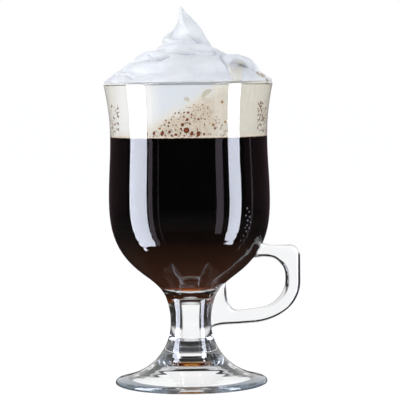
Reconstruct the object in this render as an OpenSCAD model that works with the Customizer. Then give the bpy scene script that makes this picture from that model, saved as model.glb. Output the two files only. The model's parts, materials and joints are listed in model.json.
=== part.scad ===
// A footed glass mug for hot coffee with cream, filled as it is served.
// The glass is four gathers fused face to face: a thin bowl, a short solid stem, a disc foot and
// a flat loop handle. The drink is stacked in the bowl: coffee, froth and whipped cream.
// All sizes are millimetres. The origin is the centre of the resting face, +Z is up and the
// handle reaches along +X.

/* [Bowl] */
// Height of the bowl from its joint with the stem to the lip
bowl_h = 105.5; // [90:0.5:130]
// Outer radius of the bowl at the lip
rim_r = 40.2; // [36:0.1:45]
// Outer radius of the waist under the lip
waist_r = 37.5; // [34:0.1:40]
// Height of the waist above the stem joint
waist_h = 79.5; // [66:0.5:84]
// Outer radius of the belly, the widest place under the waist
belly_r = 38.5; // [36:0.1:42]
// Height of the belly above the stem joint
belly_h = 49.5; // [42:0.5:60]
// Outer radius where the underside of the bowl turns in most steeply
shoulder_r = 27.7; // [25:0.1:31]
// Height of that turn above the stem joint
shoulder_h = 18.5; // [15:0.5:23]
// Angle of the underside there, below level
shoulder_slope = 45; // [38:1:52]
// Thickness of the wall at the lip
lip_wall = 2.2; // [1.6:0.1:3]
// Thickness of the wall at the belly
wall = 2.8; // [2:0.1:3.6]
// Thickness of the wall where the underside turns in
shoulder_wall = 4; // [3:0.1:5]
// Thickness of solid glass between the cavity and the stem joint
floor_t = 8.2; // [6:0.1:10]
// Outer radius of the joint between bowl and stem
bowl_joint_r = 10.9; // [10.2:0.1:12.5]

/* [Stem and foot] */
// Length of the stem between its two joints
stem_h = 19.5; // [16:0.5:24]
// Radius of the stem at its waist
stem_r = 9.7; // [8.5:0.1:10.1]
// Height of the stem's waist above the foot joint
stem_waist_h = 11.2; // [9:0.1:13]
// Height of the foot from the table to the stem joint
foot_h = 20; // [16:0.5:24]
// Radius of the joint between stem and foot
foot_joint_r = 11.8; // [10.5:0.1:13]
// Outer radius of the foot
foot_r = 36.4; // [32:0.1:42]
// Thickness of the rounded edge of the foot
foot_edge = 3.4; // [2.6:0.1:4.4]
// Slope of the foot's upper face beside its edge
foot_slope = 13; // [8:1:18]
// Width of the flat ring on which the mug rests
rest_ring_w = 2.4; // [1.6:0.1:4]
// Depth of the hollow inside the resting ring
hollow_d = 10.8; // [6:0.1:11.5]
// Radius of the nearly level top of the hollow
hollow_top_r = 10.5; // [8:0.1:12]

/* [Handle] */
// Reach of the handle from the mug's axis to its outer edge
handle_reach = 52.6; // [50:0.1:58]
// Height of the handle's upper edge above the stem joint
handle_top = 27.2; // [25:0.1:30]
// Height of the handle's lower edge at the stem, below the stem joint
handle_drop = 11.4; // [9:0.1:13]
// Width of the handle's upper bar, seen from the side
bar_top = 5.6; // [4.5:0.1:7]
// Width of the handle's outer bar, seen from the side
bar_side = 7; // [5.5:0.1:8]
// Width of the handle's lower bar, seen from the side
bar_bottom = 6.5; // [5:0.1:7.5]
// Length of the straight run of the outer bar
straight_side = 12.4; // [8:0.1:15]
// Thickness of the handle across the mug
handle_t = 8.4; // [6:0.1:11]
// Rounding of the handle's long edges
handle_edge = 2.2; // [1:0.1:2.4]

/* [Drink] */
// Depth of the cream inside the glass, down from the lip
cream_depth = 7.6; // [4:0.1:12]
// Depth of the brown froth between the cream and the coffee
froth_depth = 17; // [10:0.1:22]
// Clearance between the drink and the glass
fill_gap = 0.1; // [0.05:0.05:0.3]
// Height of the blanket of cream above the lip
blanket_h = 5.2; // [3:0.1:8]
// Width of the ring of lip that the blanket leaves bare
blanket_inset = 1.4; // [1.2:0.1:3]
// Height of the cream billow that lies on the blanket
billow_h = 8.2; // [6:0.1:12]
// Radius of the billow where it lies on the blanket
billow_r = 32; // [28:0.5:34]
// Height of the swirl that stands on the billow
swirl_h = 6.2; // [5:0.1:9]
// Height of the twisted peak
peak_h = 17.1; // [12:0.1:20]

/* [Hidden] */

glass_tint = [0.82, 0.88, 0.92, 0.45];
coffee_tint = [0.10, 0.03, 0.02];
froth_tint = [0.85, 0.66, 0.48];
cream_tint = [0.98, 0.96, 0.92];

// Length of each handle of a curve, as a share of the distance between its two stations
pull_share = 0.38;
// Straight pieces in each curve between two stations
leg_steps = 10;
ring_steps = 96;

// Heights of the joints and of the lip above the table
stem_z = foot_h;
bowl_z = stem_z + stem_h;
glass_h = bowl_z + bowl_h;

// A station of a profile is [radius, height, heading], and a heading of -90 points straight down.
// A leg is the smooth curve between two stations, without its last point.
function heading(a) = [cos(a), sin(a)];
function flat(p) = [p[0], p[1]];
function blend4(p, q, r, s, t) =
    p * pow(1 - t, 3) + 3 * q * t * pow(1 - t, 2) + 3 * r * t * t * (1 - t) + s * pow(t, 3);
function leg(a, b) =
    let (reach = pull_share * norm(flat(b) - flat(a)))
    [for (i = [0:leg_steps - 1])
        blend4(flat(a), flat(a) + reach * heading(a[2]), flat(b) - reach * heading(b[2]), flat(b),
               i / leg_steps)];
function route(stations) =
    concat([for (i = [0:len(stations) - 2]) each leg(stations[i], stations[i + 1])],
           [flat(stations[len(stations) - 1])]);
function backwards(line) = [for (i = [len(line) - 1:-1:0]) line[i]];

// Outer profile of the glass, in three runs that share the stations at the two joints
lip_lean = -101;
bowl_joint_lean = -103;
foot_joint_lean = -66;
bowl_joint = [bowl_joint_r, bowl_z, bowl_joint_lean];
foot_joint = [foot_joint_r, stem_z, foot_joint_lean];
lip_round = lip_wall / 2;
outer_lip = [rim_r, glass_h - lip_round, lip_lean];
outer_bowl = [outer_lip,
              [waist_r, bowl_z + waist_h, -90],
              [belly_r, bowl_z + belly_h, -90],
              [shoulder_r, bowl_z + shoulder_h, -90 - shoulder_slope],
              bowl_joint];
outer_stem = [bowl_joint, [stem_r, stem_z + stem_waist_h, -90], foot_joint];
foot_crown_r = foot_r - foot_edge / 2;
outer_foot = [foot_joint, [foot_crown_r, foot_edge, -foot_slope]];
outer_line = concat(route(outer_bowl), route(outer_stem), route(outer_foot));
outer_table = [for (p = backwards(outer_line)) [p[1], p[0]]];
function outer_r(z) = lookup(z, outer_table);

// Inner profile of the bowl, moved in by a clearance when a filling is drawn from it
cavity_z = bowl_z + floor_t;
function inner_bowl(clear) =
    let (turn = -90 - shoulder_slope, inward = heading(turn - 90))
    [[rim_r - lip_wall - clear, glass_h - lip_round, lip_lean],
     [waist_r - wall - clear, bowl_z + waist_h, -90],
     [belly_r - wall - clear, bowl_z + belly_h, -90],
     concat([shoulder_r, bowl_z + shoulder_h] + (shoulder_wall + clear) * inward, [turn]),
     [0, cavity_z + clear, -180]];
function inner_line(clear) = route(inner_bowl(clear));
function inner_r(z, clear) =
    lookup(z, [for (p = backwards(inner_line(clear))) [p[1], p[0]]]);

module turn_solid(outline) {
    rotate_extrude($fn = ring_steps) polygon(outline);
}

// The lip is rounded over from the outer wall to the inner wall
lip_steps = 8;
function lip_arc() =
    [for (i = [1:lip_steps - 1])
        [rim_r - lip_round, glass_h - lip_round] + lip_round * heading(180 - 180 * i / lip_steps)];

module bowl() {
    color(glass_tint)
        turn_solid(concat(route(outer_bowl), [[0, bowl_z]], backwards(inner_line(0)), lip_arc()));
}

module stem() {
    color(glass_tint)
        turn_solid(concat(route(outer_stem), [[0, stem_z], [0, bowl_z]]));
}

// The foot is a shallow cone whose edge is rounded above and turns under in a soft curve to the
// ring that it rests on. Inside the ring its underside rises as a bell-shaped hollow.
ring_out_share = 0.86;
bell_r_share = 0.68;
bell_rise_share = 0.42;
bell_top_share = 0.945;
module foot() {
    edge_r = foot_edge / 2;
    ring_out = foot_r * ring_out_share;
    ring_in = ring_out - rest_ring_w;
    edge_arc = [for (i = [1:lip_steps / 2 - 1])
        [foot_crown_r, edge_r] + edge_r * heading(90 - 180 * i / lip_steps)];
    under_edge = [for (i = [0:leg_steps - 1])
        let (turn = heading(90 * i / leg_steps))
        [ring_out + (foot_r - ring_out) * turn[0], edge_r * (1 - turn[1])]];
    hollow = route([[ring_in, 0, 150],
                    [ring_in * bell_r_share, hollow_d * bell_rise_share, 151],
                    [hollow_top_r, hollow_d * bell_top_share, 163],
                    [0, hollow_d, 180]]);
    color(glass_tint)
        turn_solid(concat(route(outer_foot), edge_arc, under_edge, [[ring_out, 0]], hollow, [[0, stem_z]]));
}

// The handle is a loft of rounded bars between two outlines in the plane of the mug's axis. Both
// outlines have the same number of legs, and each bar spans from a point of the outer outline to
// the matching point of the inner one.
// The knee is where the outer bar has turned into the lower bar. The web is the foot of the handle
// that runs up from the stem to the underside of the bowl.
corner = bar_top * 0.85;
knee_share = 0.67;
knee_rise_share = 0.36;
web_share = 1.56;
hole_rise_share = 1.15;
sunk = shoulder_wall / 2;
handle_top_z = bowl_z + handle_top;
handle_low_z = bowl_z - handle_drop;
hole_top_z = handle_top_z - bar_top;
hole_low_z = handle_low_z + bar_bottom * hole_rise_share;
hole_side_x = handle_reach - bar_side;
side_z = handle_top_z - corner - straight_side;
knee_x = handle_reach * knee_share;
knee_z = handle_low_z + bar_bottom * knee_rise_share;
web_x = bowl_joint_r * web_share;
web_top_z = bowl_z + shoulder_h / 2;
root_z = handle_top_z + corner / 2;
root_x = outer_r(root_z) - sunk;
root_hole_x = outer_r(hole_top_z) - sunk;
web_low_x = stem_r - sunk;

handle_outer = [[root_x, root_z, -50],
                [root_x + corner + sunk / 2, handle_top_z, -4],
                [handle_reach - corner, handle_top_z, 0],
                [handle_reach, handle_top_z - corner, -90],
                [handle_reach, side_z, -90],
                [knee_x, knee_z, -166],
                [web_x + bar_bottom, handle_low_z + bar_bottom / 6, -175],
                [web_low_x, handle_low_z - bar_bottom / 4, -150],
                [web_low_x - sunk, handle_low_z - bar_bottom / 3, -150]];
handle_inner = [[root_hole_x - sunk, hole_top_z - corner / 4, 20],
                [root_hole_x + sunk * 2, hole_top_z, 3],
                [hole_side_x - bar_side * 1.2, hole_top_z, -4],
                [hole_side_x, hole_top_z - bar_side * 1.3, -90],
                [hole_side_x, side_z, -92],
                [knee_x - bar_bottom / 2, knee_z + bar_bottom * 0.93, -175],
                [web_x + bar_bottom * 0.9, hole_low_z, 180],
                [web_x, web_top_z, 90],
                [web_x - sunk * 2, web_top_z + sunk / 2, 90]];

// One bar of the handle: a rounded rectangle that spans from a to b and is thick across them
bar_corners = [[-1, -1], [1, -1], [1, 1], [-1, 1]];
bar_steps = 3;
function bar_ring(a, b, t) =
    let (mid = (a + b) / 2, half = norm(b - a) / 2, along = (b - a) / norm(b - a),
         edge = min(handle_edge, half * 0.9))
    [for (c = [0:3]) for (i = [0:bar_steps])
        let (q = bar_corners[c], turn = 180 + 90 * (c + i / bar_steps),
             u = q[0] * (half - edge) + edge * cos(turn), v = q[1] * (t / 2 - edge) + edge * sin(turn))
        [mid[0] + along[0] * u, v, mid[1] + along[1] * u]];

// A loft through closed rings of points, with flat ends
module loft(rings) {
    n = len(rings[0]);
    last = len(rings) - 1;
    sides = [for (k = [0:last - 1]) for (i = [0:n - 1]) for (f = [0, 1])
        f == 0 ? [k * n + i, k * n + (i + 1) % n, (k + 1) * n + (i + 1) % n]
               : [k * n + i, (k + 1) * n + (i + 1) % n, (k + 1) * n + i]];
    ends = [[for (i = [n - 1:-1:0]) i], [for (i = [0:n - 1]) last * n + i]];
    polyhedron([for (r = rings) each r], concat(sides, ends));
}

module handle() {
    outer = route(handle_outer);
    inner = route(handle_inner);
    color(glass_tint) difference() {
        loft([for (i = [0:len(outer) - 1]) bar_ring(outer[i], inner[i], handle_t)]);
        turn_solid(concat(route(outer_bowl), route(outer_stem), route(outer_foot),
                          [[0, foot_edge], [0, glass_h - lip_round]]));
    }
}

// The drink fills the cavity in layers that meet face to face
froth_z = glass_h - lip_round - cream_depth;
coffee_z = froth_z - froth_depth;
function filling(z0, z1) =
    concat([[inner_r(z1, fill_gap), z1]],
           [for (p = inner_line(fill_gap)) if (p[1] < z1 && p[1] > z0 && p[0] > 0) p]);

module coffee() {
    bottom_z = cavity_z + fill_gap;
    color(coffee_tint) turn_solid(concat([[0, coffee_z]], filling(bottom_z, coffee_z), [[0, bottom_z]]));
}

module layer(z0, z1) {
    turn_solid(concat([[0, z1]], filling(z0, z1), [[inner_r(z0, fill_gap), z0], [0, z0]]));
}

module froth() {
    color(froth_tint) layer(coffee_z, froth_z);
}

module cream_layer() {
    color(cream_tint) layer(froth_z, glass_h - lip_round);
}

// Whipped cream is a mound with thick folds laid on it, which end in a drawn-out peak. The pieces
// are cut from one heap by level planes, so that they meet face to face.
cream_h = blanket_h + billow_h + swirl_h + peak_h;
blanket_z = glass_h;
billow_z = blanket_z + blanket_h;
swirl_z = billow_z + billow_h;
peak_z = swirl_z + swirl_h;
blanket_r = rim_r - blanket_inset;
neck_r = rim_r - lip_wall - fill_gap * 2;

// The mound: height as a share of the cream, and radius as a share of the blanket's
mound_shares = [[0, 1], [0.03, 0.99], [0.07, 0.955], [0.12, 0.90], [0.18, 0.81], [0.24, 0.73], [0.29, 0.63],
                [0.325, 0.50], [0.37, 0.34], [0.44, 0.23], [0.52, 0.06], [1, 0.005]];
function mound_r(z) = blanket_r * lookup((z - blanket_z) / cream_h, mound_shares);

// Each fold is a row of balls: the share of the billow's radius towards +X and +Y, the share of the
// cream's height, and the ball's own radius as a share of the billow's
peak_fold = [[0, 0, 0.35, 0.36], [0.01, 0, 0.48, 0.30], [0.01, 0, 0.59, 0.245], [0, 0, 0.68, 0.185],
             [-0.03, 0, 0.77, 0.125], [-0.055, 0, 0.86, 0.075], [-0.078, 0, 0.93, 0.037],
             [-0.094, 0, 0.985, 0.012]];
ridge_fold = [[-0.075, -0.04, 0.885, 0.028], [-0.047, -0.1, 0.795, 0.04], [0.02, -0.16, 0.71, 0.058],
              [0.1, -0.21, 0.625, 0.07], [0.19, -0.225, 0.55, 0.078], [0.262, -0.15, 0.474, 0.075],
              [0.318, 0.015, 0.41, 0.081], [0.287, 0.22, 0.392, 0.1]];
collar_fold = [[0.38, -0.09, 0.385, 0.045], [0.33, -0.29, 0.385, 0.094], [0.11, -0.42, 0.38, 0.125],
               [-0.19, -0.4, 0.39, 0.13], [-0.34, -0.22, 0.38, 0.112], [-0.385, 0.03, 0.365, 0.115],
               [-0.28, 0.31, 0.37, 0.13], [0.03, 0.425, 0.355, 0.138], [0.34, 0.31, 0.335, 0.135],
               [0.46, 0.06, 0.3, 0.122], [0.48, -0.22, 0.29, 0.122]];
tongue_fold = [[-0.06, -0.655, 0.28, 0.063], [-0.25, -0.66, 0.295, 0.094], [-0.44, -0.59, 0.305, 0.103],
               [-0.59, -0.425, 0.29, 0.112], [-0.665, -0.19, 0.255, 0.125], [-0.68, 0.09, 0.24, 0.128],
               [-0.53, 0.41, 0.235, 0.144], [-0.22, 0.625, 0.225, 0.15]];
front_fold = [[-0.84, -0.375, 0.125, 0.138], [-0.655, -0.69, 0.125, 0.169], [-0.31, -0.89, 0.13, 0.188],
              [0.06, -0.93, 0.13, 0.194], [0.34, -0.86, 0.13, 0.181], [0.52, -0.73, 0.158, 0.144],
              [0.6, -0.6, 0.222, 0.106], [0.67, -0.5, 0.275, 0.075]];
back_fold = [[-0.965, -0.125, 0.078, 0.113], [-0.875, 0.25, 0.12, 0.156], [-0.645, 0.625, 0.13, 0.188],
             [-0.25, 0.88, 0.13, 0.194], [0.19, 0.89, 0.13, 0.194], [0.56, 0.7, 0.14, 0.194],
             [0.79, 0.375, 0.16, 0.169], [0.85, 0.06, 0.175, 0.138], [0.81, -0.2, 0.2, 0.106]];
curl_fold = [[0.51, -0.87, 0.055, 0.069], [0.52, -0.845, 0.153, 0.069], [0.58, -0.775, 0.245, 0.066],
             [0.7, -0.65, 0.28, 0.066], [0.82, -0.52, 0.262, 0.069], [0.905, -0.44, 0.2, 0.075],
             [0.96, -0.41, 0.12, 0.078], [0.99, -0.39, 0.045, 0.075]];
lobe_fold = [[-1.09, -0.33, 0.03, 0.05], [-1.02, -0.456, 0.055, 0.069], [-0.9, -0.6, 0.065, 0.075],
             [-0.78, -0.74, 0.05, 0.063], [-0.69, -0.84, 0.028, 0.038]];
fold_shares = [peak_fold, ridge_fold, collar_fold, tongue_fold, front_fold, back_fold, curl_fold, lobe_fold];

balls_between = 4;
balls = [for (fold = fold_shares) for (i = [0:len(fold) - 2]) for (k = [0:balls_between - 1])
    let (q = fold[i] + (fold[i + 1] - fold[i]) * k / balls_between)
    [q[0] * billow_r, q[1] * billow_r, blanket_z + q[2] * cream_h, q[3] * billow_r]];

// A level ring of the heap goes round a middle that leans as the peak does. In each direction it
// reaches the outermost of the mound and the balls that the level cuts.
cream_points = 72;
lean_shares = [[0, 0], [0.5, 0], [0.68, 0], [0.86, -0.055], [1, -0.094]];
function cream_ring(z) =
    let (middle = [billow_r * lookup((z - blanket_z) / cream_h, lean_shares), 0],
         cuts = [for (b = balls) let (dz = z - b[2]) if (abs(dz) < b[3])
                     [b[0] - middle[0], b[1] - middle[1], pow(b[3], 2) - pow(dz, 2)]])
    [for (i = [0:cream_points - 1])
        let (u = heading(360 * i / cream_points),
             reach = [for (c = cuts) let (across = c[0] * u[1] - c[1] * u[0]) if (pow(across, 2) < c[2])
                          c[0] * u[0] + c[1] * u[1] + sqrt(c[2] - pow(across, 2))],
             r = min(blanket_r, max(concat([mound_r(z)], reach))))
        [middle[0] + r * u[0], middle[1] + r * u[1], z]];

// Rings of one slice of the heap, from one level plane to the next
slice_share = 0.028;
function cream_slice(z0, z1) =
    let (steps = ceil((z1 - z0) / (cream_h * slice_share)))
    [for (i = [0:steps]) cream_ring(z0 + (z1 - z0) * i / steps)];

// The blanket lies on the cream in the glass, fills its mouth and covers the inner edge of the lip
module cream_blanket() {
    neck = [for (z = [glass_h - lip_round, blanket_z])
        [for (i = [0:cream_points - 1]) concat(neck_r * heading(360 * i / cream_points), [z])]];
    color(cream_tint) loft(concat(neck, cream_slice(blanket_z, billow_z)));
}

module cream_billow() {
    color(cream_tint) loft(cream_slice(billow_z, swirl_z));
}

module cream_swirl() {
    color(cream_tint) loft(cream_slice(swirl_z, peak_z));
}

module cream_peak() {
    color(cream_tint) loft(cream_slice(peak_z, peak_z + peak_h));
}

bowl();
stem();
foot();
handle();
coffee();
froth();
cream_layer();
cream_blanket();
cream_billow();
cream_swirl();
cream_peak();
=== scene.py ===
# %% [markdown]
# A footed glass mug of hot coffee under whipped cream.
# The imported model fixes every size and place. It is loaded first, and each piece made here takes
# its place and its outline from it. All lengths are in metres.

# %% Load the fixed frame
import math
import random

import bpy
import numpy as np
from mathutils import Matrix, Vector
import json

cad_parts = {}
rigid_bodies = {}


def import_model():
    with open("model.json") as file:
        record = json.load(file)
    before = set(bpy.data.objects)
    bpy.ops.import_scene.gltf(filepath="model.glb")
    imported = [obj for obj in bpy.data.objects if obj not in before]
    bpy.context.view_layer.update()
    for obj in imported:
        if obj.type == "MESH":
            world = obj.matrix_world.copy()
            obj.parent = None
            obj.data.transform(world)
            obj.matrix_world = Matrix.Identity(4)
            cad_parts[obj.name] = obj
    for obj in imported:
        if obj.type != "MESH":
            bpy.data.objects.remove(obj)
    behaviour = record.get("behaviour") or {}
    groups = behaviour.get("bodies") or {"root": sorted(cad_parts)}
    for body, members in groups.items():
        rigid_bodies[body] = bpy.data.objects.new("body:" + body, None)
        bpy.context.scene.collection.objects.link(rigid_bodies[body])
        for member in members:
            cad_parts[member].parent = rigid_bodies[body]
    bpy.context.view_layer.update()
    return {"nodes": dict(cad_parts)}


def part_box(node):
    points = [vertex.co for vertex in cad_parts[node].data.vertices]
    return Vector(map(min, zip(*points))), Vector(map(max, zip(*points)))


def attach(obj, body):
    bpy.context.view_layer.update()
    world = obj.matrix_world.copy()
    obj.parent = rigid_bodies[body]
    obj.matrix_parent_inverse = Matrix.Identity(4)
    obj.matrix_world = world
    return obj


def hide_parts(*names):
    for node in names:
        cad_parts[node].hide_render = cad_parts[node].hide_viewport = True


MM = 0.001
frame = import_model()
cad = frame["nodes"]

# %% [markdown]
# The camera stands about a metre away at the height of the lip and looks slightly down, through a
# long lens. The mug stands a little left of the middle of the picture, and leans by less than a
# degree, so the camera is turned and rolled by that much.

# %% Camera
CAMERA_AWAY = 1.024
CAMERA_HIGH = 0.1432
LENS = 193.0
TILT = math.radians(3.044)
YAW = math.radians(-0.283)
ROLL = math.radians(-0.68)

camera_data = bpy.data.cameras.new("camera")
camera_data.lens = LENS
camera = bpy.data.objects.new("camera", camera_data)
bpy.context.scene.collection.objects.link(camera)
turned = Matrix.Rotation(YAW, 4, "Z") @ Matrix.Rotation(math.pi / 2 - TILT, 4, "X")
turned = turned @ Matrix.Rotation(ROLL, 4, "Z")
camera.matrix_world = Matrix.Translation((0, -CAMERA_AWAY, CAMERA_HIGH)) @ turned
bpy.context.scene.camera = camera
bpy.context.scene.view_settings.view_transform = "Standard"
print("camera lens", camera_data.lens)

# %% [markdown]
# Light is caught in the foot's thin edge and turned many times before it leaves, as in real glass.
# With the usual limit on its turns the edge would be black, so the limit is raised.

# %% Light paths
LIGHT_TURNS = 48
paths = bpy.context.scene.cycles
paths.max_bounces = paths.transmission_bounces = paths.glossy_bounces = LIGHT_TURNS
paths.transparent_max_bounces = LIGHT_TURNS
print("light may turn", paths.max_bounces, "times")


# %% Helpers for shader nodes
def new_material(name):
    """A material with an empty node tree and its output node."""
    made = bpy.data.materials.new(name)
    made.use_nodes = True
    made.node_tree.nodes.clear()
    return made, made.node_tree, made.node_tree.nodes.new("ShaderNodeOutputMaterial")


def feed(tree, socket, value):
    """Sets a socket to a number or colour, or links it to another socket."""
    if isinstance(value, bpy.types.NodeSocket):
        tree.links.new(value, socket)
    elif value is not None:
        socket.default_value = value


def sum_up(tree, operation, a, b=None, c=None):
    """One step of arithmetic in a node tree."""
    step = tree.nodes.new("ShaderNodeMath")
    step.operation = operation
    for socket, value in zip(step.inputs, (a, b, c)):
        feed(tree, socket, value)
    return step.outputs[0]


def mix_colours(tree, share, a, b, blend="MIX"):
    """A mix of two colours by share."""
    step = tree.nodes.new("ShaderNodeMix")
    step.data_type = "RGBA"
    step.blend_type = blend
    feed(tree, step.inputs[0], share)
    feed(tree, step.inputs[6], a)
    feed(tree, step.inputs[7], b)
    return step.outputs[2]


def mix_shaders(tree, share, a, b):
    """A mix of two shaders by share."""
    step = tree.nodes.new("ShaderNodeMixShader")
    feed(tree, step.inputs[0], share)
    tree.links.new(a, step.inputs[1])
    tree.links.new(b, step.inputs[2])
    return step.outputs[0]


def ramp(tree, value, stops):
    """A colour ramp with (place, colour) stops."""
    step = tree.nodes.new("ShaderNodeValToRGB")
    feed(tree, step.inputs[0], value)
    places = step.color_ramp.elements
    while len(places) < len(stops):
        places.new(0.5)
    for place, (at, colour) in zip(places, stops):
        place.position = at
        place.color = (*colour, 1)
    return step.outputs[0]


def grey(level):
    return (level, level, level, 1)


# %% [markdown]
# Clear glass has no colour of its own: it shows the room. The room is a white paper sweep behind
# the mug, a white window high behind it, darkness at its sides, and two tall soft boxes that the
# bowl mirrors as pale strips, each with a fainter strip and a thin line beside it. The world holds
# them by direction, so they stay in the room when the camera moves.

# %% World
world = bpy.data.worlds.new("studio")
bpy.context.scene.world = world
world.use_nodes = True
sky = world.node_tree
sky.nodes.clear()
coordinates = sky.nodes.new("ShaderNodeTexCoord")
split = sky.nodes.new("ShaderNodeSeparateXYZ")
sky.links.new(coordinates.outputs["Generated"], split.inputs[0])
toward_x, toward_y, toward_z = split.outputs
# 0 is towards the front of the mug, +90 towards its left and -90 towards its handle
around = sum_up(sky, "MULTIPLY", sum_up(sky, "ARCTAN2", sum_up(sky, "MULTIPLY", toward_x, -1.0),
                                        sum_up(sky, "MULTIPLY", toward_y, -1.0)), 180 / math.pi)
raised = sum_up(sky, "MULTIPLY", sum_up(sky, "ARCSINE", toward_z), 180 / math.pi)
# Limits a little beyond straight down, straight up and straight behind, in degrees
DOWN, UP, BEHIND = -100, 100, 190


def between(tree, value, low, high, soft):
    """1 where value lies between low and high, with edges that fade over soft."""
    up = tree.nodes.new("ShaderNodeMapRange")
    down = tree.nodes.new("ShaderNodeMapRange")
    for step, start, end in ((up, low - soft, low + soft), (down, high + soft, high - soft)):
        feed(tree, step.inputs[0], value)
        step.inputs[1].default_value = start
        step.inputs[2].default_value = end
    return sum_up(tree, "MULTIPLY", up.outputs[0], down.outputs[0])


def window(low, high, bottom, top, soft):
    """A rectangle of the world, between two directions around and two heights in degrees."""
    sides = between(sky, around, low, high, soft)
    return sum_up(sky, "MULTIPLY", sides, between(sky, raised, bottom, top, soft))


# %% What the glass mirrors
# Each strip of light is (from, to, bottom, top, soft edge) in degrees
LEFT_BOX = (63.3, 94.5, -42, 62, 0.6)
RIGHT_BOX = (-79, -59, -38, 62, 0.6)
LEFT_FAINT = (54, 60.8, -42, 62, 0.3)
RIGHT_FAINT = (-49.5, -38.7, -30, 62, 0.4)
LEFT_LINE = (44.4, 45.6, -42, 62, 0.2)
RIGHT_LINE = (-103, -99.5, -42, 62, 0.4)
LINE_SHARE = 0.45
BOX_LIGHT = (13.6, 14.2, 16.4, 1)
FAINT_LIGHT = (1.0, 0.85, 1.05, 1)
DARK_ROOM = grey(0.006)
DIM_ROOM = (0.07, 0.045, 0.05, 1)
LOW_ROOM = grey(0.012)
DIM_FROM_LEFT, DIM_FROM_RIGHT = 99, -87
SWEEP_BOTTOM = 5
LOW_ROOM_TOP = -8
boxes = sum_up(sky, "ADD", window(*LEFT_BOX), window(*RIGHT_BOX))
faint = sum_up(sky, "ADD", window(*LEFT_FAINT), window(*RIGHT_FAINT))
thin_lines = sum_up(sky, "ADD", window(*LEFT_LINE), window(*RIGHT_LINE))
faint = sum_up(sky, "ADD", faint, sum_up(sky, "MULTIPLY", thin_lines, LINE_SHARE))
beyond = between(sky, sum_up(sky, "ABSOLUTE", around), DIM_FROM_LEFT, BEHIND, 1.0)
beyond = sum_up(sky, "MAXIMUM", beyond, between(sky, around, -BEHIND, DIM_FROM_RIGHT, 1.0))
mirrored = mix_colours(sky, beyond, DARK_ROOM, DIM_ROOM)
sweep_above = sum_up(sky, "MULTIPLY", beyond, between(sky, raised, SWEEP_BOTTOM, UP, 2))
mirrored = mix_colours(sky, sweep_above, mirrored, grey(1.0))
mirrored = mix_colours(sky, between(sky, raised, DOWN, LOW_ROOM_TOP, 5), mirrored, LOW_ROOM)
mirrored = mix_colours(sky, faint, mirrored, FAINT_LIGHT)
mirrored = mix_colours(sky, boxes, mirrored, BOX_LIGHT)

# %% What is seen through the glass
BOX_THROUGH = (1.9, 2.0, 2.3, 1)
DARK_SIDES = grey(0.025)
PAPER_HALF, PAPER_TOP = 16.5, 13
WINDOW_HALF, WINDOW_LOW = 45, 29
TABLE_EDGE = -14
TABLE_LIGHT = grey(0.85)
paper_far = sum_up(sky, "ABSOLUTE", around)
paper = sum_up(sky, "MULTIPLY", between(sky, paper_far, 180 - PAPER_HALF, BEHIND, 1.2),
               between(sky, raised, DOWN, PAPER_TOP, 1.0))
high_window = sum_up(sky, "MULTIPLY", between(sky, paper_far, 180 - WINDOW_HALF, BEHIND, 3),
                     between(sky, raised, WINDOW_LOW, UP, 2))
paper = sum_up(sky, "MAXIMUM", paper, high_window)
table = between(sky, raised, DOWN, TABLE_EDGE, 3)
seen_through = mix_colours(sky, table, DARK_SIDES, TABLE_LIGHT)
seen_through = mix_colours(sky, paper, seen_through, grey(1.0))
seen_through = mix_colours(sky, boxes, seen_through, BOX_THROUGH)

# %% [markdown]
# Some rays are mirrored inside the glass before they leave it. In a plain white room they would
# lay a haze of table and window over the coffee and the stem, which are dark in real glass. So the
# room is darker for them: the table, the high window, what lies steeply below, and a low patch
# straight behind. Rays that the foot's edge turns many times end in a pale blue grey.

# %% Rays that the glass has mirrored inside
MIRRORED_ONCE, MIRRORED_TWICE = 0.5, 1.5
TABLE_TWICE = grey(0.04)
HIGH_FROM = 28
HIGH_MIRRORED = grey(0.03)
STEEP_FROM = -38
STEEP_MIRRORED = grey(0.04)
MANY_FROM, MANY_TO = 2.0, 9.0
EDGE_TINT = (0.20, 0.25, 0.30, 1)
PATCH_HALF, PATCH_LOW, PATCH_HIGH = 12, 3, 12.5
PATCH_LIGHT = grey(0.005)
light_path = sky.nodes.new("ShaderNodeLightPath")
times_mirrored = light_path.outputs["Glossy Depth"]
once = sum_up(sky, "GREATER_THAN", times_mirrored, MIRRORED_ONCE)
twice = sum_up(sky, "GREATER_THAN", times_mirrored, MIRRORED_TWICE)
table_twice = sum_up(sky, "MULTIPLY", twice, between(sky, raised, DOWN, TABLE_EDGE, 2))
seen_through = mix_colours(sky, table_twice, seen_through, TABLE_TWICE)
high_once = sum_up(sky, "MULTIPLY", once, between(sky, raised, HIGH_FROM, UP, 1))
seen_through = mix_colours(sky, high_once, seen_through, HIGH_MIRRORED)
steep_once = sum_up(sky, "MULTIPLY", once, between(sky, raised, DOWN, STEEP_FROM, 2))
seen_through = mix_colours(sky, steep_once, seen_through, STEEP_MIRRORED)
many_times = sky.nodes.new("ShaderNodeMapRange")
feed(sky, many_times.inputs[0], times_mirrored)
many_times.inputs[1].default_value = MANY_FROM
many_times.inputs[2].default_value = MANY_TO
seen_through = mix_colours(sky, many_times.outputs[0], seen_through, EDGE_TINT)
low_patch = sum_up(sky, "MULTIPLY", between(sky, paper_far, 180 - PATCH_HALF, BEHIND, 1.5),
                   between(sky, raised, PATCH_LOW, PATCH_HIGH, 0.8))
seen_through = mix_colours(sky, sum_up(sky, "MULTIPLY", once, low_patch), seen_through, PATCH_LIGHT)

# %% [markdown]
# Cream, froth and coffee are lit by a weak fill from the room besides the lamps. What reaches the
# froth and cream inside the bowl through its wall is brighter, as the wall itself shades them. The
# camera sees plain white wherever nothing stands.

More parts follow.
